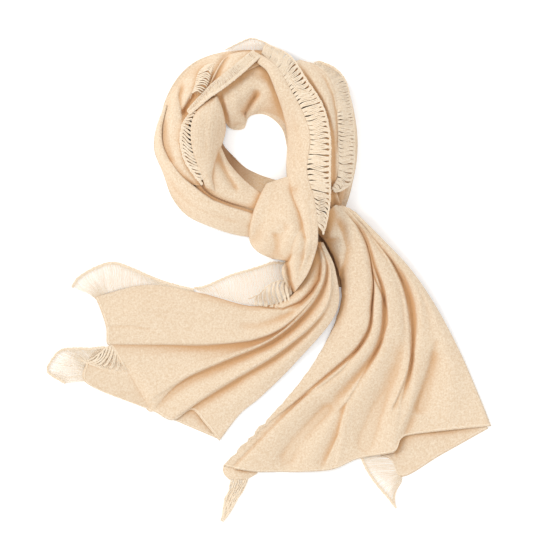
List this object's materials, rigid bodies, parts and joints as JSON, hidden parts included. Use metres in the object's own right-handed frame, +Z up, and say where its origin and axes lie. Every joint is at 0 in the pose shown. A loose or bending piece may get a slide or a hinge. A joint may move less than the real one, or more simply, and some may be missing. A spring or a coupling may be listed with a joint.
{
  "type": "pashmina shawl",
  "caption": "Soft knitted shawl folded lengthwise, wound into a ring, knotted and laid flat with two fanned pleated tails; open ladder bands run along its edges.",
  "frame": {"origin": "centre of the bounding box at the surface the shawl lies on", "axes": "+Z up off the surface, +Y from the tails towards the ring, +X towards the right tail's corner"},
  "size_m": [0.6314, 0.6854, 0.0586],
  "materials": {
    "hidden_layers": "fine brushed knit",
    "knit": "fine brushed knit",
    "open_knit": "loose open knit yarn"
  },
  "bodies": {
    "root": {"ring_core": "hidden_layers", "knot_core": "hidden_layers", "front_strand": "knit", "right_strand": "knit", "right_under_strand": "knit", "ring_top_fold": "knit", "inner_left_band": "knit", "lower_inner_band": "knit", "deep_inner_strip": "knit", "outer_left_band": "knit", "lapped_left_band": "knit", "top_left_fold": "knit", "knot_band": "knit", "left_tail": "knit", "right_tail": "knit", "left_tail_under": "knit", "right_tail_under": "knit", "corner_end": "knit", "front_open_band": "open_knit", "top_open_band": "open_knit", "arc_open_band": "open_knit", "lapped_open_band": "open_knit", "inner_left_open_band": "open_knit", "right_open_band": "open_knit", "left_near_open_band": "open_knit", "left_far_open_band": "open_knit", "left_under_open_band": "open_knit", "right_under_open_band": "open_knit"}
  },
  "joints": []
}
